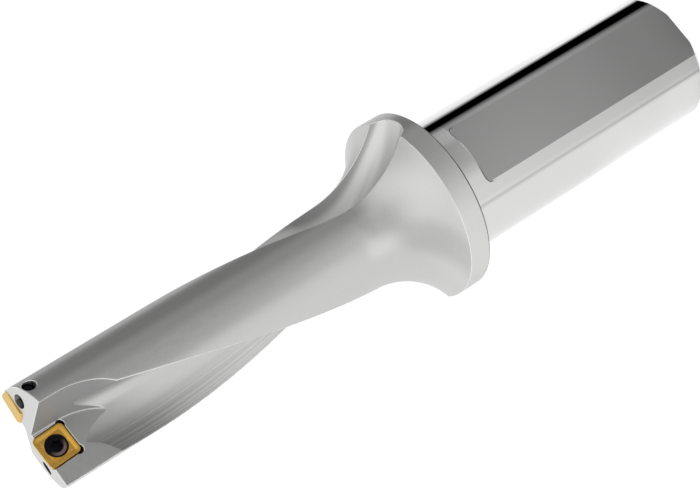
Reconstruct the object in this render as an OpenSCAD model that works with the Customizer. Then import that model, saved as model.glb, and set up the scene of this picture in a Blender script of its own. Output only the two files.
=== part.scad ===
// Indexable drill with two square inserts, twisted chip flutes and a parallel-flat shank.
// The tool stands on the end of its shank: the axis is Z and the cutting tip points up.
// The flat and the rake face of the central insert both look along -Y.

/* [Shank] */
// Diameter of the ground shank
shank_d = 20; // [16:0.5:25]
// Length of the shank behind the flange
shank_len = 46.6; // [44:0.2:60]
// Chamfer round the end of the shank
shank_chamfer = 0.8; // [0.4:0.1:1.5]
// Depth of the clamping flat below the round of the shank
flat_depth = 1.2; // [0.6:0.1:2]
// Round part of the shank left between the flange and the flat
flat_gap = 4.7; // [3:0.1:12]
// Corner radius at the front end of the flat
flat_corner_r = 1.4; // [0.5:0.1:2.5]

/* [Coolant supply] */
// Diameter of the coolant bore in the end of the shank
inlet_d = 8.8; // [7:0.1:10]
// Depth of the coolant bore
inlet_depth = 41; // [34:1:43]
// Chamfer at the mouth of the coolant bore
inlet_chamfer = 0.8; // [0.3:0.1:1.2]
// Diameter of the two twisted coolant channels
channel_d = 2.1; // [1.4:0.1:2.4]
// Steel left between a channel and the outside of the body
channel_wall = 0.95; // [0.7:0.05:1.2]
// Direction of the channel behind the peripheral insert, at the tip
channel_dir = -31; // [-36:1:-26]
// Direction of the channel behind the central insert, at the tip
second_channel_dir = 124; // [120:1:134]

/* [Flange] */
// Diameter of the flange
flange_d = 27.7; // [26:0.1:33]
// Thickness of the flange at its rim
flange_t = 3.6; // [3:0.1:6]
// Small chamfer on both rims of the flange
flange_chamfer = 0.25; // [0.1:0.05:0.5]

/* [Fluted body] */
// Diameter of the hole that the drill cuts
cut_d = 15; // [14.4:0.1:16]
// Gap between the body and the wall of the hole
body_gap = 0.05; // [0.02:0.01:0.15]
// Length of the body from the front rim of the flange to the reference plane of the tip
body_len = 62.4; // [58:0.4:74]
// Length of the hollow flare that leads from the body up to the rim of the flange
flare_len = 11.5; // [9:0.1:12.5]
// Turn of the flutes in degrees for each millimetre of length
twist_rate = 1.95; // [1.6:0.01:2.2]

/* [Central flute] */
// Direction in which the flute opens at the tip
central_flute_dir = -119.9; // [-125:0.1:-115]
// Distance of the root circle's centre from the axis, along that direction
central_root_u = 3; // [2.9:0.05:3.4]
// Offset of the root circle's centre towards the heel
central_root_v = 0.68; // [0.5:0.02:0.9]
// Radius of the root
central_root_r = 2.4; // [2:0.05:2.4]
// Slope of the heel wall
central_heel_slope = 36; // [30:1:38]
// Slope of the rake wall next to the root
central_rake_root_slope = 57; // [52:1:60]
// Width of that steeper stretch of the rake wall
central_rake_step = 2.75; // [2.2:0.05:3]
// Slope of the rake wall outside it
central_rake_slope = 37; // [33:1:41]
// Full-depth length of the flute, from the tip
central_full_len = 51; // [46:0.5:51.5]

/* [Peripheral flute] */
// Direction in which the flute opens at the tip
outer_flute_dir = 62.8; // [58:0.1:67]
// Distance of the root circle's centre from the axis, along that direction
outer_root_u = 4.2; // [4:0.05:4.6]
// Offset of the root circle's centre towards the heel
outer_root_v = -0.2; // [-0.4:0.05:0.2]
// Radius of the root
outer_root_r = 2.6; // [2.3:0.05:2.8]
// Slope of the heel wall
outer_heel_slope = 30; // [26:1:35]
// Slope of the rake wall next to the root
outer_rake_root_slope = 45; // [40:1:50]
// Width of that steeper stretch of the rake wall
outer_rake_step = 1.2; // [0.8:0.1:1.6]
// Slope of the rake wall outside it
outer_rake_slope = 27; // [23:1:32]
// Full-depth length of the flute, from the tip
outer_full_len = 47; // [43:0.5:50]

/* [Flute run-out] */
// Distance that the run-outs reach behind the front rim of the flange
runout_in_flange = 1.95; // [1:0.05:2.6]
// Turn by which the run-outs lag behind the twist at their end
runout_lag = 17; // [10:0.5:20]

/* [Tip] */
// Height of the ridge of the end face above the reference plane
ridge_h = 0.4; // [0.2:0.05:0.5]
// Relief of the end face behind the peripheral insert
outer_relief = 10.7; // [8:0.1:12]
// Relief of the end face behind the central insert
central_relief = 5.5; // [3:0.5:8]
// Straight length of the chip pockets
pocket_len = 3.5; // [3:0.1:4.5]
// Radius at which the pocket walls run out into the flutes
pocket_r = 10.9; // [9:0.1:12]
// Lean of the central pocket's wall from square
central_wall_lean = 10.8; // [8:0.1:14]
// Lean of the peripheral pocket's wall from square
outer_wall_lean = 14; // [10:0.5:17]
// Steel ledge between an insert and the wall of its pocket
pocket_ledge = 0.6; // [0.3:0.05:0.7]

/* [Inserts] */
// Side of the square inserts
insert_size = 4.7; // [4.5:0.05:5]
// Thickness of the inserts
insert_t = 1.9; // [1.6:0.05:2.4]
// Corner radius of the inserts
insert_corner_r = 0.6; // [0.4:0.05:0.8]
// Clearance angle of the insert flanks
insert_clearance = 11; // [7:0.5:13]
// Width of the cutting land and the groove along each edge
groove_w = 0.65; // [0.5:0.05:0.8]
// Depth of the chip groove
groove_depth = 0.14; // [0.08:0.01:0.2]
// Distance by which the central insert cuts past the axis
centre_overlap = 0.15; // [0.1:0.05:0.3]
// Height of the central rake face past the axis plane
central_rake_y = 0.2; // [0.1:0.05:0.35]
// Height of the peripheral rake face past the axis plane
outer_rake_y = 0.4; // [0.2:0.05:0.5]
// Height of the central cutting edge above the reference plane
central_lead = 0.8; // [0.7:0.05:1]
// Height of the peripheral cutting edge above the reference plane
outer_lead = 0.65; // [0.6:0.05:0.9]
// Turn by which the outer end of each cutting edge is set back
edge_setback = 3; // [0:0.5:4]
// Height of the rake faces above the floor of the pockets
insert_proud = 0.15; // [0.05:0.05:0.25]
// Gap between an insert and the walls of its seat
seat_gap = 0.03; // [0.02:0.01:0.06]
// Width of the relief along the upper edges of the seats
seat_relief_w = 0.12; // [0.05:0.01:0.2]
// Depth of that relief
seat_relief_depth = 0.5; // [0.3:0.05:0.8]
// Diameter of the relief holes in the seat corners
corner_relief_d = 1.3; // [1:0.1:1.6]

/* [Insert screws] */
// Diameter of the screw thread
screw_d = 1.8; // [1.6:0.1:2]
// Diameter of the countersunk head
screw_head_d = 3.1; // [2.8:0.1:3.4]
// Full angle of the countersink
screw_cone = 60; // [50:5:70]
// Length of the screw
screw_len = 3.9; // [3.6:0.1:4.4]
// Depth of the screw head below the rake face
screw_sink = 0.16; // [0.1:0.02:0.3]
// Width across the six-lobe socket
socket_d = 1.6; // [1.3:0.1:1.8]
// Depth of the six-lobe socket
socket_depth = 0.7; // [0.5:0.05:0.9]
// Gap between a screw and its hole
screw_gap = 0.05; // [0.02:0.01:0.1]

/* [Hidden] */
$fn = 96;

steel_color = [0.72, 0.72, 0.71];
insert_color = [0.83, 0.63, 0.22];
screw_color = [0.12, 0.11, 0.13];

cut_r = cut_d / 2;
body_r = cut_r - body_gap;
shank_r = shank_d / 2;
flange_r = flange_d / 2;
flange_z = shank_len + flange_t;
tip_z = flange_z + body_len;
flute_end_z = flange_z - runout_in_flange;
flare_rise = flange_r - body_r;
flare_r = (flare_len * flare_len + flare_rise * flare_rise) / (2 * flare_rise);
past = 20;
skin = 0.01;
flat_edge = 0.3;
seam_dir = 52.5;
drill_point = 31;
runout_over = 1.06;
runout_steepest = 89.8;
groove_floor_taper = 0.9;
lobe_share = 1 / 4;
screw_point_share = 1 / 4;

central_x = centre_overlap - insert_size / 2;
central_z = tip_z + central_lead - insert_size / 2;
outer_corner_x = sqrt(cut_r * cut_r - outer_rake_y * outer_rake_y);
outer_x = outer_corner_x - insert_size / 2;
outer_z = tip_z + outer_lead - insert_size / 2;

seat_wall_drop = insert_t * tan(insert_clearance);
channel_path_r = body_r - channel_wall - channel_d / 2;
channel_merge_in = 0.3;
channel_merge_deep = 2;
channel_over = 1;
channel_merge_r = inlet_d / 2 - channel_d / 2 - channel_merge_in;
channel_merge_z = inlet_depth - channel_merge_deep;

arc_steps = 10;
ring_pitch = 2.2;
runout_steps = 12;
channel_sides = 12;
channel_pitch = 3;

// A point given in a flute's own frame at height z, lifted outwards and turned with the flute
function turned(p, lift, angle, z) = [
    (p[0] + lift) * cos(angle) - p[1] * sin(angle),
    (p[0] + lift) * sin(angle) + p[1] * cos(angle),
    z
];

function twist_at(z) = twist_rate * (z - tip_z);

// Solid through a list of rings that all have the same number of points
module swept(rings) {
    n = len(rings[0]);
    last = len(rings) - 1;
    sides = [for (i = [0 : last - 1]) for (j = [0 : n - 1])
        [i * n + j, (i + 1) * n + j, (i + 1) * n + (j + 1) % n, i * n + (j + 1) % n]];
    bottom = [for (j = [0 : n - 1]) j];
    top = [for (j = [0 : n - 1]) last * n + n - 1 - j];
    polyhedron([for (r = rings) for (p = r) p], concat([bottom], sides, [top]), convexity = 8);
}

// Cross-section of a flute: heel wall, round root and a rake wall in two stretches
function flute_section(u, v, r, heel, rake_root, step, rake) =
    let (foot = [u - r * sin(rake_root), v - r * cos(rake_root)])
    let (bend = foot + step * [cos(rake_root), -sin(rake_root)])
    let (crest = [u - r * sin(heel), v + r * cos(heel)])
    concat(
        [bend + past * [cos(rake), -sin(rake)]],
        [crest + past * [cos(heel), sin(heel)]],
        [for (i = [0 : arc_steps]) let (a = 90 + heel + (180 - heel - rake_root) * i / arc_steps)
            [u + r * cos(a), v + r * sin(a)]],
        [bend]
    );

// Void of one flute: a twisted stretch of full depth, then a run-out on an arc up through the rim
module flute(section, dir, full_len, floor_u) {
    start_z = tip_z - full_len;
    depth = start_z - flute_end_z;
    rise = flange_r - floor_u;
    arc_r = (depth * depth + rise * rise) / (2 * rise);
    end_angle = atan2(depth, arc_r - rise);
    beyond = min(end_angle * runout_over, runout_steepest);
    top_z = tip_z - pocket_len + skin;
    full_steps = ceil((top_z - start_z) / ring_pitch);
    runout = [for (i = [runout_steps : -1 : 1]) let (a = beyond * i / runout_steps)
        [start_z - arc_r * sin(a), arc_r * (1 - cos(a)), runout_lag * i / runout_steps]];
    full = [for (i = [0 : full_steps]) [start_z + (top_z - start_z) * i / full_steps, 0, 0]];
    swept([for (s = concat(runout, full))
        [for (p = section) turned(p, s[1], dir + twist_at(s[0]) + s[2], s[0])]]);
}

module central_flute() {
    flute(
        flute_section(central_root_u, central_root_v, central_root_r, central_heel_slope,
            central_rake_root_slope, central_rake_step, central_rake_slope),
        central_flute_dir, central_full_len, central_root_u - central_root_r
    );
}

module outer_flute() {
    flute(
        flute_section(outer_root_u, outer_root_v, outer_root_r, outer_heel_slope,
            outer_rake_root_slope, outer_rake_step, outer_rake_slope),
        outer_flute_dir, outer_full_len, outer_root_u - outer_root_r
    );
}

// Coolant channel that twists with the lands and closes in on the bore inside the shank
module coolant_channel(dir) {
    circle_points = [for (j = [0 : channel_sides - 1]) let (a = 360 * j / channel_sides)
        channel_d / 2 * [cos(a), sin(a)]];
    merge_steps = 4;
    merge = [for (i = [0 : merge_steps - 1]) [
        channel_merge_z + (flange_z - channel_merge_z) * i / merge_steps,
        channel_merge_r + (channel_path_r - channel_merge_r) * i / merge_steps
    ]];
    path_len = body_len + ridge_h + channel_over;
    path_steps = ceil(path_len / channel_pitch);
    path = [for (i = [0 : path_steps]) [flange_z + path_len * i / path_steps, channel_path_r]];
    swept([for (s = concat(merge, path))
        [for (p = circle_points) turned(p, s[1], dir + twist_at(s[0]), s[0])]]);
}

// Outer form of the tool as turned: shank, flange, hollow flare and cylindrical body
module turned_blank() {
    rotate([0, 0, seam_dir]) rotate_extrude() {
        polygon([
            [0, 0], [shank_r - shank_chamfer, 0], [shank_r, shank_chamfer],
            [shank_r, shank_len], [flange_r - flange_chamfer, shank_len],
            [flange_r, shank_len + flange_chamfer], [flange_r, flange_z], [0, flange_z]
        ]);
        difference() {
            translate([0, flange_z - skin]) square([flange_r, flare_len + skin]);
            translate([body_r + flare_r, flange_z + flare_len]) circle(r = flare_r, $fn = 360);
        }
        translate([0, flange_z]) square([body_r, body_len + ridge_h]);
    }
}

// Clamping flat: open at the end of the shank, with rounded corners at its front end
module flat_cut() {
    flat_len = shank_len - flat_gap;
    half_w = sqrt(shank_r * shank_r - pow(shank_r - flat_depth, 2)) + flat_edge;
    straight = flat_len - flat_corner_r;
    translate([0, flat_depth - shank_r, 0])
        rotate([90, 0, 0])
            linear_extrude(past) {
                translate([-half_w, -past]) square([2 * half_w, straight + past]);
                translate([flat_corner_r - half_w, 0]) square([2 * (half_w - flat_corner_r), flat_len]);
                for (side = [-1, 1])
                    translate([side * (half_w - flat_corner_r), straight]) circle(r = flat_corner_r);
            }
}

// Conical mouth, bore and drill point of the coolant inlet
module coolant_inlet() {
    inlet_r = inlet_d / 2;
    rotate_extrude()
        polygon([
            [0, -skin], [inlet_r + inlet_chamfer + skin, -skin], [inlet_r, inlet_chamfer],
            [inlet_r, inlet_depth], [0, inlet_depth + inlet_r * tan(drill_point)]
        ]);
}

// The two sloping halves of the end face, which meet in a ridge through the axis
module end_face_relief() {
    translate([0, 0, tip_z + ridge_h]) {
        rotate([outer_relief, 0, 0]) translate([-past, -past, 0]) cube([2 * past, past, past]);
        rotate([-central_relief, 0, 0]) translate([-past, 0, 0]) cube([2 * past, past, past]);
    }
}

// Chip pocket in front of an insert that lies on -X and looks along -Y
module chip_pocket(floor_y, wall_x, lean) {
    wall_n = wall_x * cos(lean) - floor_y * sin(lean);
    intersection() {
        rotate([0, 0, lean])
            translate([0, past, 0])
                rotate([90, 0, 0])
                    linear_extrude(2 * past)
                        translate([wall_n - pocket_r, tip_z - pocket_len]) {
                            circle(r = pocket_r, $fn = 180);
                            translate([-pocket_r, 0]) square([2 * pocket_r, past]);
                        }
        translate([-past, -past - floor_y, 0]) cube([2 * past, past, tip_z + past]);
    }
}

// Prism on a square with rounded corners that changes evenly to another width at its far end
module tapered_square(size, depth, corner_r, foot) {
    linear_extrude(height = depth, scale = foot / size)
        offset(r = corner_r, $fn = 24) square(size - 2 * corner_r, center = true);
}

// Places a shape drawn with its rake face up at z = 0 onto an insert seat on -X that looks along -Y
module on_seat(x, rake_y, z) {
    translate([x, -rake_y, z])
        rotate([0, -edge_setback, 0])
            rotate([90, 0, 0])
                children();
}

// Seat of an insert, open towards the tip, with relief holes in its two inner corners
module insert_seat() {
    width = insert_size + 2 * seat_gap;
    reach = insert_size / 2;
    corner = width / 2 - corner_relief_d / 4;
    rotate([180, 0, 0]) {
        linear_extrude(height = insert_t, scale = (width - 2 * seat_wall_drop) / width)
            square(width, center = true);
        translate([0, -reach, 0])
            linear_extrude(height = insert_t, scale = (width - 2 * seat_wall_drop) / width)
                square(width, center = true);
        translate([0, -reach / 2, 0])
            linear_extrude(seat_relief_depth)
                square([width + 2 * seat_relief_w, width + reach + 2 * seat_relief_w], center = true);
        for (side = [-1, 1])
            translate([side * corner, corner, 0]) cylinder(d = corner_relief_d, h = insert_t);
    }
    translate([0, 0, -insert_t - past]) cylinder(d = screw_d + 2 * screw_gap, h = past + skin);
}

module drill_body() {
    color(steel_color)
        difference() {
            turned_blank();
            flat_cut();
            coolant_inlet();
            central_flute();
            outer_flute();
            coolant_channel(channel_dir);
            coolant_channel(second_channel_dir);
            end_face_relief();
            chip_pocket(central_rake_y - insert_proud, centre_overlap + pocket_ledge, central_wall_lean);
            rotate([0, 0, 180])
                chip_pocket(outer_rake_y - insert_proud, insert_size - outer_corner_x + pocket_ledge,
                    outer_wall_lean);
            on_seat(central_x, central_rake_y, central_z) insert_seat();
            rotate([0, 0, 180]) on_seat(-outer_x, outer_rake_y, outer_z) insert_seat();
        }
}

// Countersunk through hole of an insert
module insert_hole() {
    hole_r = screw_d / 2 + screw_gap;
    head_r = screw_head_d / 2 + screw_gap;
    cone_h = (head_r - hole_r) / tan(screw_cone / 2);
    rotate_extrude()
        polygon([
            [0, -insert_t - skin], [hole_r, -insert_t - skin], [hole_r, -screw_sink - cone_h],
            [head_r, -screw_sink], [head_r, skin], [0, skin]
        ]);
}

// Insert with its rake face up at z = 0: tapered flanks, chip groove and countersunk hole
module insert() {
    inner = insert_size - 2 * groove_w;
    land_w = groove_w / 4;
    land = insert_size - 2 * land_w;
    crown_drop = groove_depth / 4;
    crown_corner_r = insert_corner_r / 2;
    difference() {
        rotate([180, 0, 0])
            tapered_square(insert_size, insert_t, insert_corner_r, insert_size - 2 * seat_wall_drop);
        difference() {
            rotate([180, 0, 0])
                translate([0, 0, -skin])
                    tapered_square(land, groove_depth + skin, insert_corner_r - land_w, inner);
            translate([0, 0, -insert_t])
                tapered_square(inner, insert_t - crown_drop, crown_corner_r, inner * groove_floor_taper);
        }
        insert_hole();
    }
}

module central_insert() {
    color(insert_color) on_seat(central_x, central_rake_y, central_z) insert();
}

module peripheral_insert() {
    color(insert_color) rotate([0, 0, 180]) on_seat(-outer_x, outer_rake_y, outer_z) insert();
}

// Six rounded lobes of the socket
module six_lobe() {
    lobe_d = socket_d * lobe_share;
    circle(d = socket_d - lobe_d);
    for (i = [0 : 5])
        rotate(60 * i) translate([(socket_d - lobe_d) / 2, 0]) circle(d = lobe_d, $fn = 24);
}

// Countersunk screw with the top of its head at z = 0
module insert_screw() {
    head_r = screw_head_d / 2;
    neck_r = screw_d / 2;
    cone_h = (head_r - neck_r) / tan(screw_cone / 2);
    point = neck_r * screw_point_share;
    difference() {
        rotate_extrude()
            polygon([
                [0, 0], [head_r, 0], [neck_r, -cone_h], [neck_r, point - screw_len],
                [neck_r - point, -screw_len], [0, -screw_len]
            ]);
        translate([0, 0, -socket_depth]) linear_extrude(socket_depth + skin) six_lobe();
    }
}

module central_insert_screw() {
    color(screw_color)
        on_seat(central_x, central_rake_y, central_z) translate([0, 0, -screw_sink]) insert_screw();
}

module peripheral_insert_screw() {
    color(screw_color)
        rotate([0, 0, 180])
            on_seat(-outer_x, outer_rake_y, outer_z) translate([0, 0, -screw_sink]) insert_screw();
}

drill_body();
central_insert();
peripheral_insert();
central_insert_screw();
peripheral_insert_screw();
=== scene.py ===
import math

import bpy
from mathutils import Matrix, Vector


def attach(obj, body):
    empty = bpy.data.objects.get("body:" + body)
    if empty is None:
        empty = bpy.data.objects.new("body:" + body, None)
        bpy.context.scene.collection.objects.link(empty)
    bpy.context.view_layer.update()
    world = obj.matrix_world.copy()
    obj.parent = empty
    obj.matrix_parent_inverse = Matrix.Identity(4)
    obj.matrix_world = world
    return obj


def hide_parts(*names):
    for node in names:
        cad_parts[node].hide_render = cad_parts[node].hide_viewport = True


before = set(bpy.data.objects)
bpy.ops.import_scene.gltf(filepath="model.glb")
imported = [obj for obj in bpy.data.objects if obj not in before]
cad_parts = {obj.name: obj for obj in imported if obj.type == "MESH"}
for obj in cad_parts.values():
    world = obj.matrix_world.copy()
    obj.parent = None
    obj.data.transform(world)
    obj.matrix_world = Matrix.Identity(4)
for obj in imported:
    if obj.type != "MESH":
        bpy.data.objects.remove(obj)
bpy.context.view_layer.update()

MM = 0.001

# Sizes of the drill, in millimetres and degrees; the twist is in degrees per millimetre
SHANK_R, SHANK_LEN, SHANK_CHAMFER = 10.0, 46.6, 0.8
FLAT_DEPTH, FLAT_GAP, FLAT_CORNER_R, FLAT_EDGE = 1.2, 4.7, 1.4, 0.3
INLET_R, INLET_DEPTH, INLET_CHAMFER, DRILL_POINT = 4.4, 41.0, 0.8, 31.0
CHANNEL_R, CHANNEL_WALL, CHANNEL_DIRS = 1.05, 0.95, (-31.0, 124.0)
CHANNEL_MERGE_IN, CHANNEL_MERGE_DEEP = 0.3, 2.0
FLANGE_R, FLANGE_T, FLANGE_CHAMFER = 13.85, 3.6, 0.25
CUT_R, BODY_R, BODY_LEN, FLARE_LEN = 7.5, 7.45, 62.4, 11.5
TWIST_RATE = 1.95
RUNOUT_IN_FLANGE, RUNOUT_LAG, RUNOUT_OVER, RUNOUT_STEEPEST = 1.95, 17.0, 1.06, 89.8
RIDGE_H, OUTER_RELIEF, CENTRAL_RELIEF = 0.4, 10.7, 5.5
POCKET_LEN, POCKET_R, POCKET_FILLET, POCKET_LEDGE = 3.5, 10.9, 0.3, 0.6
CENTRAL_WALL_LEAN, OUTER_WALL_LEAN = 10.8, 14.0
CENTRE_OVERLAP, CENTRAL_RAKE_Y, OUTER_RAKE_Y, INSERT_PROUD = 0.15, 0.2, 0.4, 0.15
CENTRAL_LEAD, OUTER_LEAD = 0.8, 0.65
INSERT, INSERT_T, CLEARANCE = 4.7, 1.9, 11.0
SEAT_GAP, SEAT_RELIEF_W, SEAT_RELIEF_DEPTH = 0.03, 0.12, 0.5
CORNER_RELIEF_R, EDGE_SETBACK, TAP_R = 0.65, 3.0, 0.95

# Section of each flute at the tip: direction, centre and radius of its root, slope of its heel, slope and
# length of its root's flank, slope of its rake face; then its length at full depth
CENTRAL = dict(dir=-119.9, u=3.0, v=0.68, r=2.4, heel=36.0, rake_root=57.0, step=2.75, rake=37.0, full=51.0)
OUTER = dict(dir=62.8, u=4.2, v=-0.2, r=2.6, heel=30.0, rake_root=45.0, step=1.2, rake=27.0, full=47.0)

# How far a cutter goes past what it cuts, past a face that it shares, and, for a channel, past the ridge
PAST, OVERLAP, CHANNEL_PAST = 20.0, 0.01, 1.0

FLANGE_Z = SHANK_LEN + FLANGE_T
TIP_Z = FLANGE_Z + BODY_LEN
RIDGE_Z = TIP_Z + RIDGE_H
RUNOUT_Z = FLANGE_Z - RUNOUT_IN_FLANGE
FLAT_Z = SHANK_LEN - FLAT_GAP
FLAT_HALF = math.sqrt(SHANK_R ** 2 - (SHANK_R - FLAT_DEPTH) ** 2) + FLAT_EDGE
FLARE_R = (FLARE_LEN ** 2 + (FLANGE_R - BODY_R) ** 2) / (2 * (FLANGE_R - BODY_R))
CHANNEL_PATH_R = BODY_R - CHANNEL_WALL - CHANNEL_R
CENTRAL_FLOOR_Y, OUTER_FLOOR_Y = CENTRAL_RAKE_Y - INSERT_PROUD, OUTER_RAKE_Y - INSERT_PROUD
OUTER_CORNER_X = math.sqrt(CUT_R ** 2 - OUTER_RAKE_Y ** 2)

# Centre of each insert and the pocket floor round it: x, floor y, z
CENTRAL_SEAT = (CENTRE_OVERLAP - INSERT / 2, -CENTRAL_FLOOR_Y, TIP_Z + CENTRAL_LEAD - INSERT / 2)
OUTER_SEAT = (INSERT / 2 - OUTER_CORNER_X, -OUTER_FLOOR_Y, TIP_Z + OUTER_LEAD - INSERT / 2)

# Edges that turn by more than this are sharp, but for those within this distance of a flute's bend
SHARP_TURN, BEND_REACH = 11.0, 0.05


def rad(a):
    return math.radians(a)


def mesh_object(name, verts, faces, matrix=None):
    mesh = bpy.data.meshes.new(name)
    points = [Vector(v) * MM for v in verts]
    if matrix is not None:
        points = [matrix @ p for p in points]
    mesh.from_pydata(points, [], faces)
    mesh.validate()
    obj = bpy.data.objects.new(name, mesh)
    bpy.context.scene.collection.objects.link(obj)
    return obj


def swept(name, rings, matrix=None):
    """Solid through a row of rings that have the same number of points."""
    n, last = len(rings[0]), len(rings) - 1
    verts = [p for ring in rings for p in ring]
    faces = [[i * n + j, i * n + (j + 1) % n, (i + 1) * n + (j + 1) % n, (i + 1) * n + j]
             for i in range(last) for j in range(n)]
    faces.append(list(range(n - 1, -1, -1)))
    faces.append([last * n + j for j in range(n)])
    return mesh_object(name, verts, faces, matrix)


def prism(name, outline, z0, z1, matrix):
    return swept(name, [[(x, y, z) for x, y in outline] for z in (z0, z1)], matrix)


def circle(radius, steps):
    turns = [2 * math.pi * i / steps for i in range(steps)]
    return [(radius * math.cos(a), radius * math.sin(a)) for a in turns]


def round_bar(name, radius, z0, z1, matrix, steps=48):
    return prism(name, circle(radius, steps), z0, z1, matrix)


def lathe(name, profile, steps=240):
    """Solid of revolution about Z; the profile runs from the axis round to the axis again."""
    inner = profile[1:-1]
    n = len(inner)
    turns = [2 * math.pi * (i + 0.5) / steps for i in range(steps)]
    verts = [(r * math.cos(a), r * math.sin(a), z) for a in turns for r, z in inner]
    low, high = len(verts), len(verts) + 1
    verts += [(0, 0, profile[0][1]), (0, 0, profile[-1][1])]
    faces = []
    for i in range(steps):
        k = (i + 1) % steps
        faces.append([low, k * n, i * n])
        faces.append([high, i * n + n - 1, k * n + n - 1])
        for j in range(n - 1):
            faces.append([i * n + j, k * n + j, k * n + j + 1, i * n + j + 1])
    return mesh_object(name, verts, faces)


def turned(p, lift, angle, z):
    """Point of a section, moved out by lift and turned about the axis."""
    c, s = math.cos(rad(angle)), math.sin(rad(angle))
    u = p[0] + lift
    return (u * c - p[1] * s, u * s + p[1] * c, z)


def twist_at(z):
    return TWIST_RATE * (z - TIP_Z)


def flute_bend(f):
    """Where the flute's section turns from its root's flank to its rake face."""
    root = rad(f["rake_root"])
    return (f["u"] - f["r"] * math.sin(root) + f["step"] * math.cos(root),
            f["v"] - f["r"] * math.cos(root) - f["step"] * math.sin(root))


def on_bend(point, f):
    x, y, _ = turned(flute_bend(f), 0.0, f["dir"] + twist_at(point.z), point.z)
    return math.hypot(point.x - x, point.y - y) < BEND_REACH


def flute(name, f, arc_steps=36, pitch=0.35, runout_steps=90):
    """Twisted cutter of one section, with a circular run-out that ends in the flange's rim."""
    u, v, r = f["u"], f["v"], f["r"]
    heel, root, rake = rad(f["heel"]), rad(f["rake_root"]), rad(f["rake"])
    bend = flute_bend(f)
    crest = (u - r * math.sin(heel), v + r * math.cos(heel))
    section = [(bend[0] + PAST * math.cos(rake), bend[1] - PAST * math.sin(rake)),
               (crest[0] + PAST * math.cos(heel), crest[1] + PAST * math.sin(heel))]
    for i in range(arc_steps + 1):
        a = math.pi / 2 + heel + (math.pi - heel - root) * i / arc_steps
        section.append((u + r * math.cos(a), v + r * math.sin(a)))
    section.append(bend)

    start = TIP_Z - f["full"]
    depth, rise = start - RUNOUT_Z, FLANGE_R - (u - r)
    arc_r = (depth * depth + rise * rise) / (2 * rise)
    beyond = min(math.degrees(math.atan2(depth, arc_r - rise)) * RUNOUT_OVER, RUNOUT_STEEPEST)
    stations = []
    for i in range(runout_steps, 0, -1):
        a = rad(beyond * i / runout_steps)
        lag = RUNOUT_LAG * i / runout_steps
        stations.append((start - arc_r * math.sin(a), arc_r * (1 - math.cos(a)), lag))
    top = TIP_Z - POCKET_LEN + OVERLAP
    steps = math.ceil((top - start) / pitch)
    stations += [(start + (top - start) * i / steps, 0.0, 0.0) for i in range(steps + 1)]
    return swept(name, [[turned(p, lift, f["dir"] + twist_at(z) + lag, z) for p in section]
                        for z, lift, lag in stations])


def coolant_channel(name, direction, sides=48, merge_steps=12, path_steps=90):
    merge_r, merge_z = INLET_R - CHANNEL_R - CHANNEL_MERGE_IN, INLET_DEPTH - CHANNEL_MERGE_DEEP
    stations = [(merge_z + (FLANGE_Z - merge_z) * i / merge_steps,
                 merge_r + (CHANNEL_PATH_R - merge_r) * i / merge_steps) for i in range(merge_steps)]
    length = BODY_LEN + RIDGE_H + CHANNEL_PAST
    stations += [(FLANGE_Z + length * i / path_steps, CHANNEL_PATH_R) for i in range(path_steps + 1)]
    ring = circle(CHANNEL_R, sides)
    return swept(name, [[turned(p, r, direction + twist_at(z), z) for p in ring] for z, r in stations])


def chip_pocket(name, floor_y, wall_x, lean, matrix, arc_steps=72, fillet_steps=12):
    """Milled pocket with a flat floor, a leaning wall that curves away, and a small fillet between them."""
    la = rad(lean)
    wall_n = wall_x * math.cos(la) - floor_y * math.sin(la)
    centre_n, centre_z = wall_n - POCKET_R, TIP_Z - POCKET_LEN

    def ring(inset, height):
        r = POCKET_R - inset
        turns = [math.pi * i / arc_steps for i in range(arc_steps + 1)]
        outline = [(centre_n + r * math.cos(a), centre_z - r * math.sin(a)) for a in turns]
        outline += [(centre_n - r, centre_z + PAST), (centre_n + r, centre_z + PAST)]
        points = []
        for n, z in reversed(outline):
            t = (n * math.sin(la) + floor_y) / math.cos(la) + height
            points.append((n * math.cos(la) + t * math.sin(la), n * math.sin(la) - t * math.cos(la), z))
        return points

    rings = []
    for i in range(fillet_steps + 1):
        a = math.pi / 2 * i / fillet_steps
        rings.append(ring(POCKET_FILLET * (1 - math.sin(a)), POCKET_FILLET * (1 - math.cos(a))))
    rings.append(ring(0, PAST))
    return swept(name, rings, matrix)


def seat_matrix(x, rake_y, z):
    place = Matrix.Translation(Vector((x, -rake_y, z)) * MM)
    return place @ Matrix.Rotation(rad(-EDGE_SETBACK), 4, "Y") @ Matrix.Rotation(rad(90), 4, "X")


def insert_seat(name, matrix):
    """Cutters of a seat: the insert's room, a relief round its rim, two corner reliefs, the tapped hole."""
    def square(half, far, z):
        return [(-half, -half, z), (half, -half, z), (half, far, z), (-half, far, z)]

    half = INSERT / 2 + SEAT_GAP
    far = half + INSERT / 2
    foot = half - INSERT_T * math.tan(rad(CLEARANCE))
    rim, rim_far = half + SEAT_RELIEF_W, far + SEAT_RELIEF_W
    cutters = [swept(name, [square(foot, far, -INSERT_T), square(half, far, 0.0)], matrix),
               swept(name + "_rim", [square(rim, rim_far, z) for z in (-SEAT_RELIEF_DEPTH, 0.0)], matrix)]
    corner = half - CORNER_RELIEF_R / 2
    for side in (-1, 1):
        at = matrix @ Matrix.Translation(Vector((side * corner, -corner, 0)) * MM)
        cutters.append(round_bar(name + "_corner", CORNER_RELIEF_R, -INSERT_T, 0.0, at))
    cutters.append(round_bar(name + "_tap", TAP_R, -INSERT_T - PAST, -INSERT_T + OVERLAP, matrix))
    return cutters


def slab(name, tilt, y0, y1):
    """Half of the end face's waste, above a plane that tilts about X through the ridge."""
    at = Matrix.Translation(Vector((0, 0, RIDGE_Z)) * MM) @ Matrix.Rotation(rad(tilt), 4, "X")
    return prism(name, [(-PAST, y0), (PAST, y0), (PAST, y1), (-PAST, y1)], 0.0, PAST, at)


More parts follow.
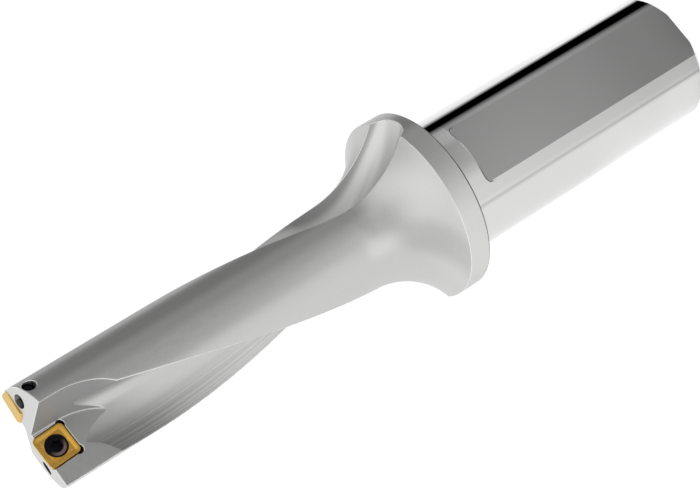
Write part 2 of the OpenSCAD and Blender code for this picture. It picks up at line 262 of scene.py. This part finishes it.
def flat_cutter(corner_steps=16):
    c, corner_x, corner_z = FLAT_CORNER_R, FLAT_HALF - FLAT_CORNER_R, FLAT_Z - FLAT_CORNER_R
    turns = [math.pi / 2 * i / corner_steps for i in range(corner_steps + 1)]
    outline = [(-FLAT_HALF, -PAST), (FLAT_HALF, -PAST)]
    outline += [(corner_x + c * math.cos(a), corner_z + c * math.sin(a)) for a in turns]
    outline += [(-corner_x - c * math.sin(a), corner_z + c * math.cos(a)) for a in turns]
    at = Matrix.Translation(Vector((0, FLAT_DEPTH - SHANK_R, 0)) * MM) @ Matrix.Rotation(rad(90), 4, "X")
    return prism("flat_cut", outline, 0.0, PAST, at)


def inlet_cutter(steps=96):
    point_z = INLET_DEPTH + INLET_R * math.tan(rad(DRILL_POINT))
    return lathe("inlet", [(0, -OVERLAP), (INLET_R + INLET_CHAMFER + OVERLAP, -OVERLAP),
                           (INLET_R, INLET_CHAMFER), (INLET_R, INLET_DEPTH), (0, point_z)], steps)


def body_profile(flare_steps=48):
    sweep = math.asin(FLARE_LEN / FLARE_R)
    turns = [sweep * (1 - i / flare_steps) for i in range(flare_steps + 1)]
    shank = [(0, 0), (SHANK_R - SHANK_CHAMFER, 0), (SHANK_R, SHANK_CHAMFER), (SHANK_R, SHANK_LEN)]
    flange = [(FLANGE_R - FLANGE_CHAMFER, SHANK_LEN), (FLANGE_R, SHANK_LEN + FLANGE_CHAMFER)]
    flare = [(BODY_R + FLARE_R * (1 - math.cos(a)), FLANGE_Z + FLARE_LEN - FLARE_R * math.sin(a))
             for a in turns]
    return shank + flange + flare + [(BODY_R, RIDGE_Z), (0, RIDGE_Z)]


def drill_body():
    half_turn = Matrix.Rotation(math.pi, 4, "Z")
    body = lathe("drill_body_fine", body_profile())
    cutters = [
        flat_cutter(),
        inlet_cutter(),
        flute("central_flute", CENTRAL),
        flute("outer_flute", OUTER),
        coolant_channel("channel_a", CHANNEL_DIRS[0]),
        coolant_channel("channel_b", CHANNEL_DIRS[1]),
        slab("relief_a", OUTER_RELIEF, -PAST, 0.0),
        slab("relief_b", -CENTRAL_RELIEF, 0.0, PAST),
        chip_pocket("central_pocket", CENTRAL_FLOOR_Y, CENTRE_OVERLAP + POCKET_LEDGE,
                    CENTRAL_WALL_LEAN, Matrix.Identity(4)),
        chip_pocket("outer_pocket", OUTER_FLOOR_Y, INSERT - OUTER_CORNER_X + POCKET_LEDGE,
                    OUTER_WALL_LEAN, half_turn),
    ]
    cutters += insert_seat("central_seat", seat_matrix(CENTRAL_SEAT[0], CENTRAL_RAKE_Y, CENTRAL_SEAT[2]))
    cutters += insert_seat("outer_seat", half_turn @ seat_matrix(OUTER_SEAT[0], OUTER_RAKE_Y, OUTER_SEAT[2]))
    for cutter in cutters:
        step = body.modifiers.new(cutter.name, "BOOLEAN")
        step.operation = "DIFFERENCE"
        step.solver = "MANIFOLD"
        step.object = cutter
    bpy.context.view_layer.update()
    shaped = body.evaluated_get(bpy.context.evaluated_depsgraph_get())
    mesh = bpy.data.meshes.new_from_object(shaped)
    body.modifiers.clear()
    body.data = mesh
    for cutter in cutters:
        bpy.data.objects.remove(cutter)
    for face in mesh.polygons:
        face.use_smooth = True
    mesh.set_sharp_from_angle(angle=rad(SHARP_TURN))
    for edge in mesh.edges:
        ends = [mesh.vertices[i].co / MM for i in edge.vertices]
        if edge.use_edge_sharp and any(all(on_bend(end, f) for end in ends) for f in (CENTRAL, OUTER)):
            edge.use_edge_sharp = False
    return body


class Nodes:
    """A short way to write a node tree."""

    def __init__(self, tree, shader="Principled BSDF"):
        self.tree = tree
        self.shader = tree.nodes[shader]

    def put(self, socket, value):
        if isinstance(value, bpy.types.NodeSocket):
            self.tree.links.new(value, socket)
        else:
            socket.default_value = value

    def fill(self, node, inputs):
        for key, value in inputs.items():
            self.put(node.inputs[key.replace("_", " ")], value)
        return node

    def add(self, kind, **inputs):
        return self.fill(self.tree.nodes.new(kind), inputs)

    def assign(self, **inputs):
        """Values for the shader's own sockets."""
        self.fill(self.shader, inputs)

    def math(self, operation, a, b=0.0, c=0.0):
        node = self.tree.nodes.new("ShaderNodeMath")
        node.operation = operation
        for socket, value in zip(node.inputs, (a, b, c)):
            self.put(socket, value)
        return node.outputs[0]

    def plus(self, a, b):
        return self.math("ADD", a, b)

    def minus(self, a, b):
        return self.math("SUBTRACT", a, b)

    def times(self, first, *rest):
        for value in rest:
            first = self.math("MULTIPLY", first, value)
        return first

    def line(self, value, slope, start):
        return self.math("MULTIPLY_ADD", value, slope, start)

    def over(self, value, limit):
        return self.math("GREATER_THAN", value, limit)

    def under(self, value, limit):
        return self.math("LESS_THAN", value, limit)

    def off(self, value, centre):
        return self.math("ABSOLUTE", self.minus(value, centre))

    def hypot(self, a, b):
        return self.math("SQRT", self.plus(self.times(a, a), self.times(b, b)))

    def remap(self, value, a, b, c=0.0, d=1.0):
        """Smooth step from c at a to d at b."""
        node = self.add("ShaderNodeMapRange", Value=value, From_Min=a, From_Max=b, To_Min=c, To_Max=d)
        node.interpolation_type = "SMOOTHSTEP"
        return node.outputs["Result"]

    def band(self, value, centre, core, soft):
        """1 within core of the centre, falling to 0 over the soft width."""
        return self.remap(self.off(value, centre), core, core + soft, 1.0, 0.0)

    def mix(self, factor, a, b):
        """One colour or the other."""
        node = self.add("ShaderNodeMix", Factor=factor)
        node.data_type = "RGBA"
        self.put(node.inputs[6], a)
        self.put(node.inputs[7], b)
        return node.outputs[2]

    def blend(self, factor, a, b):
        """One number or the other."""
        node = self.add("ShaderNodeMix", Factor=factor)
        self.put(node.inputs[2], a)
        self.put(node.inputs[3], b)
        return node.outputs[0]

    def dot(self, a, b):
        node = self.add("ShaderNodeVectorMath", Vector=a)
        node.operation = "DOT_PRODUCT"
        self.put(node.inputs[1], b)
        return node.outputs["Value"]

    def scaled(self, colour, factor):
        node = self.add("ShaderNodeVectorMath", Vector=colour)
        node.operation = "SCALE"
        self.put(node.inputs["Scale"], factor)
        return node.outputs["Vector"]

    def split(self, vector):
        return self.add("ShaderNodeSeparateXYZ", Vector=vector).outputs

    def geometry(self, output):
        return self.add("ShaderNodeNewGeometry").outputs[output]

    def noise(self, place, scale, detail):
        return self.add("ShaderNodeTexNoise", Vector=place, Scale=scale, Detail=detail).outputs["Fac"]


def new_material(name):
    material = bpy.data.materials.new(name)
    material.use_nodes = True
    return material, Nodes(material.node_tree)


def grey(level):
    return (level, level, level, 1)


WHITE, BLACK = grey(1), grey(0)

# How close to a face a point counts as on it, in millimetres: turned faces, cut faces, and round rims
SKIN, CUT_SKIN, RIM_SKIN = 0.02, 0.03, 0.05

# Turns about the axis, in degrees: side of the flat, and the painted reflections of a black strip and a thin
# line in the shank
FLAT_SIDE = -90.0
STRIP_LOW, STRIP_HIGH, STRIP_SOFT, STRIP_LEAN = -50.9, -44.2, 8.6, 1.6
LINE_AT = -133.2
# Turns over which the painted tone of the zone below the flat fades out
BELOW_FROM, BELOW_TO = -118.0, -106.0

# Painted reflection tone of the flat and of the zones above and below it: slope with the height up the
# shank, which is squared for the first two, and start at the shank's end; then the plain painted tone of the
# lower side
FLAT_TONE, ABOVE_TONE, BELOW_TONE, LOWER_TONE = (0.355, 0.264), (0.68, 0.265), (0.21, 0.60), 0.89
# Painted shade makes the shank darker at its end: heights in millimetres where that fades out, and the tone
# there
END_FROM, END_TO, END_SHADE = 8.0, 22.0, 0.8

# Soft painted reflection bands in the steel: turn, core and soft width in degrees, and gain
LINE_BANDS = ((LINE_AT, 0.6, 2.0, -0.16), (LINE_AT + 3.4, 0.5, 2.0, 0.06))
COLLAR_BANDS = ((-99.0, 2.0, 20.0, -0.36), (-67.0, 2.0, 9.0, 0.34))
LAND_BANDS = ((-54.0, 4.0, 13.0, -0.26), (-92.0, 3.0, 14.0, 0.23), (-34.0, 1.0, 7.0, 0.25))
RIM_BANDS = ((-51.0, 3.0, 11.0, -0.36), (-142.0, 14.0, 24.0, 0.12))
SPOT_BANDS = ((-116.0, 5.0, 16.0, 0.16),)
FLARE_BANDS = ((-74.7, 6.0, 18.0, -0.15),)
# The flare's painted reflection band turns by this many degrees for each millimetre of radius
FLARE_LEAN = 5.6
# Height, core and soft width of the painted highlight spot at the neck
SPOT_Z, SPOT_CORE, SPOT_SOFT = 60.0, 0.6, 2.6
# Radii past the body's where the land's painted bands end and the flare's begin
LAND_END, FLARE_START = (0.05, 0.9), (0.4, 1.4)


def rippled(m, factor, mask, value, bands):
    for centre, core, soft, gain in bands:
        ripple = m.times(mask, m.band(value, centre, core, soft))
        factor = m.times(factor, m.line(ripple, gain, 1.0))
    return factor


def shank_painted_reflections(m, y, z, radius, around, on_round, on_shank):
    """Painted reflections round the polished shank's girth: a black strip, and a factor for its tone that
    paints its shade and reflected bands.
    """
    def between(low, high):
        return m.times(on_round, m.over(around, low), m.under(around, high))

    def share(mask, factor):
        return m.line(m.minus(factor, 1.0), mask, 1.0)

    up = m.math("DIVIDE", z, SHANK_LEN * MM)
    up2 = m.times(up, up)
    on_flat = m.times(on_shank, m.under(y, (FLAT_DEPTH - SHANK_R + SKIN) * MM),
                      m.under(radius, (SHANK_R - SKIN) * MM))
    collar = m.times(on_round, m.over(z, FLAT_Z * MM))
    above = m.times(between(FLAT_SIDE, (STRIP_LOW + STRIP_HIGH) / 2), m.under(z, FLAT_Z * MM))
    below = m.times(between(LINE_AT, FLAT_SIDE), m.remap(around, BELOW_FROM, BELOW_TO, 1.0, 0.0))
    lower = m.minus(on_round, between(LINE_AT, -FLAT_SIDE))

    factor = m.times(share(on_shank, m.remap(z, END_FROM * MM, END_TO * MM, END_SHADE, 1.0)),
                     share(on_flat, m.line(up2, *FLAT_TONE)),
                     share(above, m.math("MINIMUM", m.line(up2, *ABOVE_TONE), 1.0)),
                     share(below, m.line(up, *BELOW_TONE)),
                     share(lower, LOWER_TONE))
    factor = rippled(m, factor, on_round, around, LINE_BANDS)
    factor = rippled(m, factor, collar, around, COLLAR_BANDS)
    reflected_strip = m.times(on_round, m.remap(around, STRIP_LOW - STRIP_SOFT, STRIP_LOW),
                    m.remap(m.line(up, STRIP_LEAN, around), STRIP_HIGH, STRIP_HIGH + STRIP_SOFT, 1.0, 0.0))
    return reflected_strip, factor


# Hollow of the outer flute's run-out, with painted shade: depth under the flare that counts, and heights
# where its painted shading ends
HOLLOW_SKIN, HOLLOW_FADE = 0.06, (66.0, 72.0)
# Its painted highlight crest: a height, the place across the flute there, and the slope and curve of its
# line below
CREST_Z, CREST_AT, CREST_SLOPE, CREST_CURVE = 58.0, 2.75, 0.125, 0.0194
# Gain at the crest, change of it at the sides, and distances from the crest where that starts and is full
CREST_GAIN, SIDE_GAIN, SIDE_REACH = 0.09, -0.5, (0.2, 1.0)
# Heights over which painted shade covers the rake side too; the heel side always has it
RAKE_SIDE = (47.0, 57.0)


def body_painted_reflections(m, z, radius, around, unwound):
    """Factor that paints soft reflection bands on the land, the flare and the flange's rim, a highlight spot
    at the neck, and shade and a highlight crest in the outer run-out.
    """
    below = m.minus((FLANGE_Z + FLARE_LEN) * MM, z)
    below = m.math("MINIMUM", m.math("MAXIMUM", below, 0.0), FLARE_LEN * MM)
    inward = m.math("SQRT", m.minus((FLARE_R * MM) ** 2, m.times(below, below)))
    sunk = m.under(m.plus(radius, inward), (BODY_R + FLARE_R - HOLLOW_SKIN) * MM)

    outside = m.minus(1.0, sunk)
    land_from, land_to, flare_from, flare_to = ((BODY_R + past) * MM for past in LAND_END + FLARE_START)
    land = m.times(outside, m.remap(radius, land_from, land_to, 1.0, 0.0))
    flare = m.times(outside, m.remap(radius, flare_from, flare_to), m.over(z, (FLANGE_Z + SKIN) * MM))
    highlight_spot = m.times(outside, m.band(z, SPOT_Z * MM, SPOT_CORE * MM, SPOT_SOFT * MM))
    rim = m.over(radius, (FLANGE_R - RIM_SKIN) * MM)
    leaning = m.line(m.math("DIVIDE", radius, MM), FLARE_LEAN, around)
    factor = rippled(m, 1.0, land, around, LAND_BANDS)
    factor = rippled(m, factor, rim, around, RIM_BANDS)
    factor = rippled(m, factor, flare, leaning, FLARE_BANDS)
    factor = rippled(m, factor, highlight_spot, around, SPOT_BANDS)

    turn = m.math("RADIANS", m.minus(unwound, OUTER["dir"]))
    fade_from, fade_to, rake_from, rake_to = (height * MM for height in HOLLOW_FADE + RAKE_SIDE)
    hollow = m.times(sunk, m.over(m.math("COSINE", turn), 0.0), m.over(z, SHANK_LEN * MM),
                     m.remap(z, fade_from, fade_to, 1.0, 0.0))
    drop = m.minus(CREST_Z, m.math("DIVIDE", z, MM))
    crest = m.line(m.line(drop, CREST_CURVE, CREST_SLOPE), drop, CREST_AT)
    off = m.minus(m.math("DIVIDE", m.times(m.math("SINE", turn), radius), MM), crest)
    side = m.times(m.remap(m.math("ABSOLUTE", off), *SIDE_REACH),
                   m.math("MAXIMUM", m.over(off, 0.0), m.remap(z, rake_from, rake_to)))
    return m.times(factor, m.line(hollow, m.line(side, SIDE_GAIN, CREST_GAIN), 1.0))


# Painted shade line along the flat's stop: half width, soft width and length of its ends, then its faint
# middle
STOP_HALF, STOP_SOFT, STOP_END = 0.08, 0.14, 0.4
STOP_MIDDLE, STOP_FAINT = (1.4, 3.2), 0.3


def stop_shade_line(m, x, y, z, on_round):
    """1 along the stop and the round corners of the parallel flat, on the shank's side, where shade is
    painted.
    """
    corner_x, corner_z = (FLAT_HALF - FLAT_CORNER_R) * MM, (FLAT_Z - FLAT_CORNER_R) * MM
    aside = m.math("ABSOLUTE", x)
    out_x = m.math("MAXIMUM", m.minus(aside, corner_x), 0.0)
    out_z = m.math("MAXIMUM", m.minus(z, corner_z), 0.0)
    out = m.hypot(out_x, out_z)
    return m.times(on_round, m.band(out, FLAT_CORNER_R * MM, STOP_HALF * MM, STOP_SOFT * MM),
                   m.over(z, corner_z), m.under(y, 0.0),
                   m.remap(aside, (FLAT_HALF - STOP_END) * MM, FLAT_HALF * MM, 1.0, 0.0),
                   m.remap(aside, STOP_MIDDLE[0] * MM, STOP_MIDDLE[1] * MM, STOP_FAINT, 1.0))


# How far the painted shade of a seat reaches past its rim and below its floor
SEAT_DARK_OUT, SEAT_DARK_DEEP = 0.24, 0.1


def seat_shade_mask(m, x, y, z, seat, half_turn):
    """1 on the walls of an insert's seat, below the pocket floor round it, where shade is painted."""
    centre_x, floor_y, centre_z = seat
    off_z = m.minus(z, centre_z * MM)
    down = m.times(y, half_turn)
    reach = (INSERT / 2 + SEAT_GAP + SEAT_RELIEF_W + SEAT_DARK_OUT) * MM
    return m.times(m.under(m.off(m.times(x, half_turn), centre_x * MM), reach),
                   m.over(off_z, -reach), m.under(off_z, INSERT / 4 * MM),
                   m.over(down, (floor_y + CUT_SKIN) * MM),
                   m.under(down, (floor_y + INSERT_T + SEAT_DARK_DEEP) * MM))


# Lobe in the central flute: where it starts and is full, across the flute and up the body, in millimetres
LOBE_FROM, LOBE_TO, LOBE_START, LOBE_FULL = -1.8, -4.2, FLANGE_Z + 4, FLANGE_Z + 20
# What is no lobe: faces that look up by more than this, and the pocket floor, to within this
LOBE_MOST_UP, LOBE_FLOOR = 0.5, 0.01
# Streaks along the lobe: how fine they are, range of the noise, and change of tone
STREAK_SCALE, STREAK_NOISE, STREAK_GAIN = 5200.0, (0.40, 0.64), (-0.12, 0.06)
# Painted shade darkens the lobe towards the tip between these heights
LOBE_DIM_FROM, LOBE_DIM_TO, LOBE_SHADE = 78.0, 100.0, -0.34


def streaked_and_shaded_lobe(m, y, z, radius, across, along, face_up):
    """Change of tone on the streaked lobe in the central flute: its streaks, and painted shade towards the
    tip.
    """
    streak = m.add("ShaderNodeTexNoise", Scale=1.0, Detail=4.0, Roughness=0.7)
    streak.noise_dimensions = "1D"
    m.put(streak.inputs["W"], m.times(across, STREAK_SCALE))
    lobe = m.times(m.remap(across, LOBE_FROM * MM, LOBE_TO * MM), m.under(radius, (BODY_R - CUT_SKIN) * MM),
                   m.under(face_up, LOBE_MOST_UP), m.over(along, 0.0),
                   m.remap(z, LOBE_START * MM, LOBE_FULL * MM),
                   m.over(m.off(y, -CENTRAL_FLOOR_Y * MM), LOBE_FLOOR * MM))
    streaks = m.remap(streak.outputs["Fac"], *STREAK_NOISE, *STREAK_GAIN)
    return m.times(lobe, m.plus(streaks, m.remap(z, LOBE_DIM_FROM * MM, LOBE_DIM_TO * MM, 0.0, LOBE_SHADE)))


# Wall of the tip pocket, given painted shade as a darker grey that is not metallic: how far its faces turn
# to -X, where it starts and is full, where the root ends
WALL_TURN, WALL_START, WALL_FULL, ROOT_END = -0.6, 99.0, 104.0, TIP_Z - 6


def pocket_wall_shade(m, y, z, radius, across, along, face_x):
    """1 where shade is painted on the leaning wall of the central tip pocket, but not on the flute's root
    that enters it.
    """
    root = m.hypot(m.minus(along, CENTRAL["u"] * MM), m.minus(across, CENTRAL["v"] * MM))
    off_root = m.over(m.off(root, CENTRAL["r"] * MM), CUT_SKIN * MM)
    return m.times(m.math("MAXIMUM", off_root, m.over(z, ROOT_END * MM)), m.under(face_x, WALL_TURN),
                   m.remap(z, WALL_START * MM, WALL_FULL * MM), m.under(radius, (BODY_R - CUT_SKIN) * MM),
                   m.under(y, 0.0))


# Faces that look up by more than this are no channel; share of the painted shade inside one
CHANNEL_MOST_UP, CHANNEL_SHADE = 0.9, 0.85


def in_channel(m, radius, unwound, face_up):
    """1 inside the coolant channels, where shade is painted."""
    path_r = CHANNEL_PATH_R * MM
    inside = 0.0
    for direction in CHANNEL_DIRS:
        turn = m.math("COSINE", m.math("RADIANS", m.minus(unwound, direction)))
        gap = m.minus(m.plus(m.times(radius, radius), path_r ** 2), m.times(radius, turn, 2 * path_r))
        inside = m.plus(inside, m.under(gap, ((CHANNEL_R + CUT_SKIN) * MM) ** 2))
    return m.times(inside, m.under(face_up, CHANNEL_MOST_UP))


# Broken edges: their width in millimetres, and the cosines of the turn at which their painted highlight is
# full and gone
EDGE_BREAK, EDGE_FULL, EDGE_GONE = 0.27, 0.90, 0.985
# Rear chamfer of the flange: how far its painted shade goes up the rim
CHAMFER_SHADE = 0.06
# Colours of the satin steel, of its painted edge highlight, and of the polished shank
SATIN, EDGE_HIGHLIGHT, POLISHED = (0.56, 0.56, 0.555, 1), (0.86, 0.86, 0.85, 1), (0.74, 0.74, 0.735, 1)
# Colours of painted shade at edges, of the painted reflection of a black strip, and of painted shade inside
# the channels
EDGE_SHADE, STRIP_REFLECTED_BLACK, CHANNEL_SHADE_COLOUR = grey(0.08), grey(0.002), grey(0.03)
# Colours of painted shade on the tip pocket's wall and inside the insert seats
WALL_SHADE_GREY, SEAT_SHADE_COLOUR = grey(0.26), grey(0.012)
# Grain: range of the noise, speckle of the tone, and roughness of the satin and of the polish
GRAIN, SPECKLE = (0.3, 0.7), 0.22
SATIN_ROUGH, POLISHED_ROUGH = (0.36, 0.46), 0.14


def body_steel():
    """Satin nickelled steel with painted highlights on its broken edges and painted shade in its hollows and
    at some edges, and a polished shank with painted reflections, a dark strip among them.
    """
    material, m = new_material("body_steel_look")
    place, normal = m.geometry("Position"), m.geometry("Normal")
    x, y, z = m.split(place)
    face = m.split(normal)
    radius = m.hypot(x, y)
    around = m.math("DEGREES", m.math("ARCTAN2", y, x))
    twist = m.times(m.minus(m.math("DIVIDE", z, MM), TIP_Z), TWIST_RATE)
    unwound = m.minus(around, twist)
    turn = m.math("RADIANS", m.minus(unwound, CENTRAL["dir"]))
    across, along = (m.times(m.math(part, turn), radius) for part in ("SINE", "COSINE"))

    on_shank = m.times(m.under(z, (SHANK_LEN - SKIN) * MM), m.under(radius, (SHANK_R + RIM_SKIN) * MM))
    on_round = m.times(on_shank, m.over(radius, (SHANK_R - SKIN) * MM))
    at_chamfer = m.times(m.under(z, (SHANK_LEN + FLANGE_CHAMFER + CHAMFER_SHADE) * MM),
                         m.over(radius, (FLANGE_R - FLANGE_CHAMFER - SKIN) * MM))
    # Painted shade on the flange's rear chamfer and along the flat's stop
    edge_shade = m.plus(at_chamfer, stop_shade_line(m, x, y, z, on_round))
    # Painted shade inside the coolant channels
    inside = m.times(in_channel(m, radius, unwound, face["Z"]), CHANNEL_SHADE)
    # Painted shade on the tip pocket's wall, which also loses its metal sheen
    wall_shade = pocket_wall_shade(m, y, z, radius, across, along, face["X"])
    # Painted shade in the walls of the insert seats
    seat_shade = m.plus(seat_shade_mask(m, x, y, z, CENTRAL_SEAT, 1.0), seat_shade_mask(m, x, y, z, OUTER_SEAT, -1.0))
    # Painted reflections on the shank: a black strip, and the tone of its painted shade and bands
    reflected_strip, painted_light = shank_painted_reflections(m, y, z, radius, around, on_round, on_shank)
    # Painted reflection bands, highlights and shade on the land, flare, rim and outer run-out
    painted_light = m.times(painted_light, body_painted_reflections(m, z, radius, around, unwound))
    # Streaks on the central flute's lobe, with painted shade towards the tip
    streaks_and_shade = streaked_and_shaded_lobe(m, y, z, radius, across, along, face["Z"])

    edge = m.add("ShaderNodeBevel", Radius=EDGE_BREAK * MM)
    edge.samples = 8
    broken = edge.outputs["Normal"]
    edge_highlight = m.remap(m.dot(broken, normal), EDGE_FULL, EDGE_GONE, 1.0, 0.0)
    # Painted highlight on the broken edges of the satin steel
    tone = m.mix(on_shank, m.mix(edge_highlight, SATIN, EDGE_HIGHLIGHT), POLISHED)
    for mask, colour in ((edge_shade, EDGE_SHADE), (reflected_strip, STRIP_REFLECTED_BLACK), (inside, CHANNEL_SHADE_COLOUR),
                         (wall_shade, WALL_SHADE_GREY), (seat_shade, SEAT_SHADE_COLOUR)):
        tone = m.mix(mask, tone, colour)

    grain = m.noise(place, scale=6000.0, detail=3.0)
    speckle = m.times(m.minus(grain, 0.5), m.line(on_shank, -SPECKLE, SPECKLE))
    # The tone's level carries the painted reflections, highlights and shade
    level = m.times(painted_light, m.plus(m.plus(streaks_and_shade, speckle), 1.0))
    bump = m.add("ShaderNodeBump", Strength=0.06, Distance=0.1 * MM, Height=grain, Normal=broken)
    # The tip pocket's wall is made not metallic as part of its painted shade
    m.assign(Base_Color=m.scaled(tone, level), Metallic=m.minus(1.0, wall_shade),
             Specular_Tint=m.mix(reflected_strip, WHITE, BLACK),
             Roughness=m.blend(on_shank, m.remap(grain, *GRAIN, *SATIN_ROUGH), POLISHED_ROUGH),
             Normal=bump.outputs["Normal"])
    return material


# Coating: gold, with paler gold painted as light on flanks that look up by more than the first of these and
# fully by the second
GOLD, LIT_FLANK_GOLD, FLANK_UP = (0.78, 0.455, 0.09, 1), (0.64, 0.45, 0.17, 1), (0.5, 0.9)
GOLD_SHADE, GOLD_ROUGH, GOLD_EDGE = (0.9, 1.1), (0.37, 0.47), 0.06


def coated_carbide():
    """Gold coated carbide with a fine ground grain, and paler gold painted as light on its flanks that look
    up.
    """
    material, m = new_material("coated_carbide_look")
    # Paler gold painted as light on the flanks that look up
    lit_flank = m.remap(m.split(m.geometry("Normal"))["Z"], *FLANK_UP)
    grain = m.noise(m.geometry("Position"), scale=9000.0, detail=3.0)
    edge = m.add("ShaderNodeBevel", Radius=GOLD_EDGE * MM)
    bump = m.add("ShaderNodeBump", Strength=0.05, Distance=0.05 * MM, Height=grain,
                 Normal=edge.outputs["Normal"])
    m.assign(Base_Color=m.scaled(m.mix(lit_flank, GOLD, LIT_FLANK_GOLD), m.remap(grain, *GRAIN, *GOLD_SHADE)),
             Metallic=1.0, Roughness=m.remap(grain, *GRAIN, *GOLD_ROUGH), Normal=bump.outputs["Normal"])
    return material


# Screw head: colours, radius, half width and soft width of its painted warm reflection ring, and how the
# painted light falls on that
SCREW_DARK, SCREW_RING_GLINT = (0.012, 0.011, 0.014, 1), (0.30, 0.22, 0.21, 1)
RING_R, RING_HALF, RING_SOFT = 1.12, 0.12, 0.16
RING_LEAN, RING_FROM, RING_TO = -0.35, -0.2, 1.2
SCREW_ROUGH = (0.29, 0.41)


def screw_steel():
    """Blackened screw with a dished head: black outside, a painted warm reflection ring lit on one side,
    black round the socket.
    """
    material, m = new_material("dark_screw_look")
    place = m.geometry("Position")
    x, _, z = m.split(place)
    # rim adds up the painted warm reflection ring of each screw head, lit on one side
    rim = 0.0
    for (centre_x, _, centre_z), half_turn in ((CENTRAL_SEAT, 1.0), (OUTER_SEAT, -1.0)):
        off_x, off_z = m.minus(x, centre_x * half_turn * MM), m.minus(z, centre_z * MM)
        toward = m.line(off_z, RING_LEAN, m.times(off_x, -half_turn))
        ring = m.band(m.hypot(off_x, off_z), RING_R * MM, RING_HALF * MM, RING_SOFT * MM)
        rim = m.plus(rim, m.times(ring, m.remap(toward, RING_FROM * MM, RING_TO * MM)))
    m.assign(Base_Color=m.mix(rim, SCREW_DARK, SCREW_RING_GLINT), Metallic=0.9,
             Roughness=m.remap(m.noise(place, scale=8000.0, detail=2.0), *GRAIN, *SCREW_ROUGH))
    return material


def dress(obj, material):
    obj.data.materials.clear()
    obj.data.materials.append(material)


# Camera: where the photo's axis line, tip point and scale put it, in pixels, millimetres and degrees
FOCAL_PX, IMAGE_W, IMAGE_H = 1950.0, 700.0, 488.0
TIP_PX, TIP_DEPTH = (36.73, 438.47), 250.54
AXIS_TURN, AXIS_TILT, FLAT_TURN = 31.527, 24.814, 13.4
SENSOR_W, CLIP_NEAR, CLIP_FAR = 36.0, 0.01, 50.0


def photo_camera():
    """Sets the camera and returns the level direction from the drill to it."""
    down = Vector((math.cos(rad(AXIS_TILT)) * math.cos(rad(AXIS_TURN)),
                   -math.cos(rad(AXIS_TILT)) * math.sin(rad(AXIS_TURN)), math.sin(rad(AXIS_TILT))))
    tip_x, tip_y = (TIP_PX[0] - IMAGE_W / 2) / FOCAL_PX, (TIP_PX[1] - IMAGE_H / 2) / FOCAL_PX
    tip = Vector((tip_x, tip_y, 1.0)) * TIP_DEPTH
    up = -down
    near = (-tip - (-tip).dot(up) * up).normalized()
    side = up.cross(near)
    c, s = math.cos(rad(FLAT_TURN)), math.sin(rad(FLAT_TURN))
    axes = Matrix((c * side - s * near, -(c * near + s * side), up))
    origin = tip + TIP_Z * down
    camera = bpy.data.cameras.new("photo_camera")
    camera.sensor_width = SENSOR_W
    camera.lens = FOCAL_PX * SENSOR_W / IMAGE_W
    camera.clip_start, camera.clip_end = CLIP_NEAR, CLIP_FAR
    obj = bpy.data.objects.new("photo_camera", camera)
    turn = axes @ Matrix(((1, 0, 0), (0, -1, 0), (0, 0, -1)))
    obj.matrix_world = Matrix.Translation(axes @ -origin * MM) @ turn.to_4x4()
    bpy.context.scene.collection.objects.link(obj)
    bpy.context.scene.camera = obj
    return (axes @ near).normalized()


# Floor: half its side, its tones, the turn from the camera to its dim side, where that starts and is full
FLOOR_HALF, FLOOR_PALE, FLOOR_DIM = 4000, grey(0.97), grey(0.27)
DIM_TURN, DIM_FROM, DIM_FULL = 68.0, 20.0, 100.0
# Glow of the floor round the shank's end: its radii and strength
GLOW_FROM, GLOW_END, GLOW = 12.0, 45.0, 0.4
# Surround: strength, level at the horizon and overhead, and the height of direction that counts as overhead
SURROUND, HORIZON, OVERHEAD, OVERHEAD_AT = 1.12, 0.95, 1.18, 0.95
# Turn and rise of each dim side of the surround, its full and outer spread, and its gain
DIM_SIDES = ((5.0, 45.0, 6.0, 34.0, -0.48), (-95.0, 6.0, 8.0, 36.0, -0.40),
             (-172.0, 48.0, 6.0, 40.0, -0.2))


def studio_world():
    """White surround, brighter overhead, with soft dim sides that shade the flare and the flute run-out."""
    world = bpy.data.worlds.new("studio")
    world.use_nodes = True
    m = Nodes(world.node_tree, "Background")
    direction = m.add("ShaderNodeTexCoord").outputs["Generated"]
    level = m.remap(m.split(direction)["Z"], 0.0, OVERHEAD_AT, HORIZON, OVERHEAD)
    for turn, rise, inner, outer, gain in DIM_SIDES:
        flat = math.cos(rad(rise))
        centre = (flat * math.cos(rad(turn)), flat * math.sin(rad(turn)), math.sin(rad(rise)))
        dim = m.remap(m.dot(direction, centre), math.cos(rad(outer)), math.cos(rad(inner)), 0.0, gain)
        level = m.times(level, m.plus(dim, 1.0))
    m.assign(Color=WHITE, Strength=m.times(level, SURROUND))
    return world


def studio(near):
    """Pale floor that mirrors as if it were dim on one side, and the surround."""
    h = FLOOR_HALF
    floor = mesh_object("floor", [(-h, -h, 0), (h, -h, 0), (h, h, 0), (-h, h, 0)], [[0, 1, 2, 3]])
    material, m = new_material("floor_look")
    x, y, _ = m.split(m.geometry("Position"))
    dim = Matrix.Rotation(rad(DIM_TURN), 3, "Z") @ near
    ahead = m.plus(m.times(x, dim.x), m.times(y, dim.y))
    mirrored_only = m.minus(1.0, m.add("ShaderNodeLightPath").outputs["Is Camera Ray"])
    shade = m.times(m.remap(ahead, DIM_FROM * MM, DIM_FULL * MM), mirrored_only)
    glow = m.remap(m.hypot(x, y), GLOW_FROM * MM, GLOW_END * MM, GLOW, 0.0)
    m.assign(Base_Color=m.mix(shade, FLOOR_PALE, FLOOR_DIM), Roughness=0.9, Specular_IOR_Level=0.0,
             Emission_Color=WHITE, Emission_Strength=glow)
    dress(floor, material)
    bpy.context.scene.world = studio_world()


body = drill_body()
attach(body, "root")
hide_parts("drill_body")
dress(body, body_steel())
gold, dark = coated_carbide(), screw_steel()
for node in ("central_insert", "peripheral_insert"):
    dress(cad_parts[node], gold)
for node in ("central_insert_screw", "peripheral_insert_screw"):
    dress(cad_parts[node], dark)

studio(photo_camera())
bpy.context.scene.view_settings.view_transform = "Standard"
